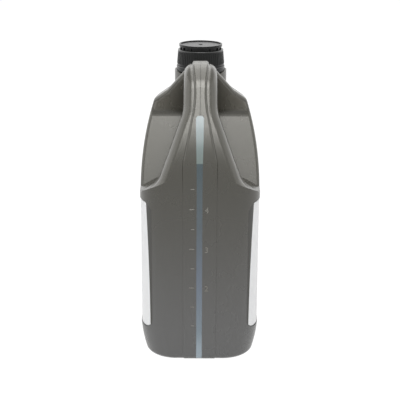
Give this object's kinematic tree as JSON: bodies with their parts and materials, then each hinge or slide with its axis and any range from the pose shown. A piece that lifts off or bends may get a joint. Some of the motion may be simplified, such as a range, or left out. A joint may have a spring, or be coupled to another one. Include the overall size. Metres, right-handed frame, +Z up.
{
  "type": "motor oil bottle",
  "caption": "Tall blown plastic oil jug with a hollow end handle, side pockets, sloping roof, label panels and a black ribbed screw cap over a tamper band.",
  "frame": {"origin": "middle of the bottle's box, on the surface that the base stands on", "axes": "+Z up, Y along the width with the handle end at -Y, X through the thickness between the label faces"},
  "size_m": [0.1204, 0.215, 0.3018],
  "materials": {
    "bottle_plastic": "satin metallic grey",
    "cap_plastic": "satin black",
    "band_plastic": "satin black",
    "liner_foam": "foamed, matte",
    "label_film": "satin film",
    "oil": "clear amber liquid"
  },
  "bodies": {
    "bottle": {"bottle_body": "bottle_plastic", "tamper_band": "band_plastic", "front_label": "label_film", "back_label": "label_film", "oil_fill": "oil"},
    "liner": {"cap_liner": "liner_foam"},
    "cap": {"screw_cap": "cap_plastic"}
  },
  "joints": [
    {"name": "cap_lift", "type": "slide", "parent": "bottle", "child": "liner", "axis": [0, 0, 1], "range_m": [0, 0.012]},
    {"name": "cap_turn", "type": "hinge", "parent": "liner", "child": "cap", "pos_m": [0, 0.0085, 0.29], "axis": [0, 0, 1], "range_deg": [0, 720]}
  ],
  "couplings": [
    {"joint": "cap_lift", "follows": "cap_turn", "m_per_rad": 0.00095493}
  ]
}
